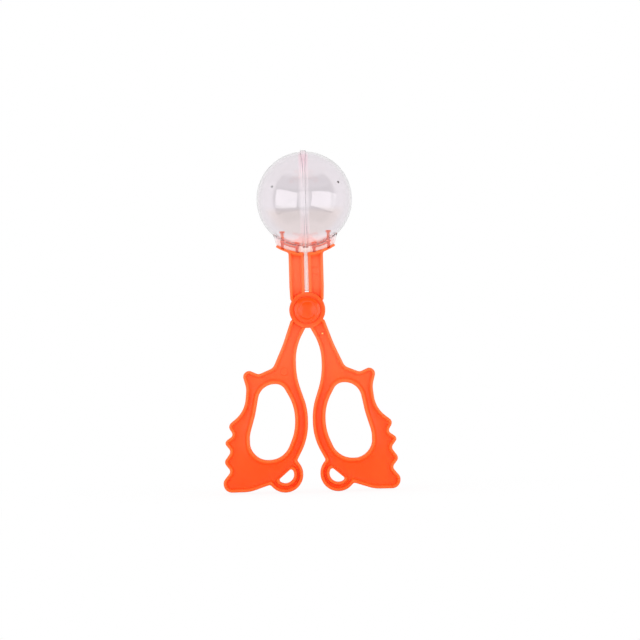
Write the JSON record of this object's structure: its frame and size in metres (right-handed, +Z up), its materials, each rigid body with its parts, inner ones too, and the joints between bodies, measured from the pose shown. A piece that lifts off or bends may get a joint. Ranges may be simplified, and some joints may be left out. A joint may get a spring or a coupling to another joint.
{
  "type": "bug catcher tongs",
  "caption": "Scissor-action bug catcher tongs: two crossing moulded arms on a pivot pin, with finger-hole handles and a clear ball that opens in half.",
  "frame": {"origin": "centre of the bounding box's bottom, between the two hang loops", "axes": "+Z up the tool from the hang loops to the ball, X across it with the halves of the ball meeting at X = 0, +Y through it towards the back; the pivot axis lies along Y"},
  "size_m": [0.0908, 0.0504, 0.1752],
  "materials": {
    "orange_plastic": "injection-moulded polypropylene, satin",
    "clear_plastic": "clear moulded polystyrene, polished",
    "pin_plastic": "injection-moulded polypropylene, satin"
  },
  "bodies": {
    "rear_half": {"rear_arm": "orange_plastic", "right_cup": "clear_plastic"},
    "front_half": {"front_arm": "orange_plastic", "left_cup": "clear_plastic", "pivot_pin": "pin_plastic", "pivot_cap": "pin_plastic"}
  },
  "joints": [
    {"name": "pivot", "type": "hinge", "parent": "rear_half", "child": "front_half", "pos_m": [0, 0, 0.0932], "axis": [0, -1, 0], "range_deg": [0, 60]}
  ]
}
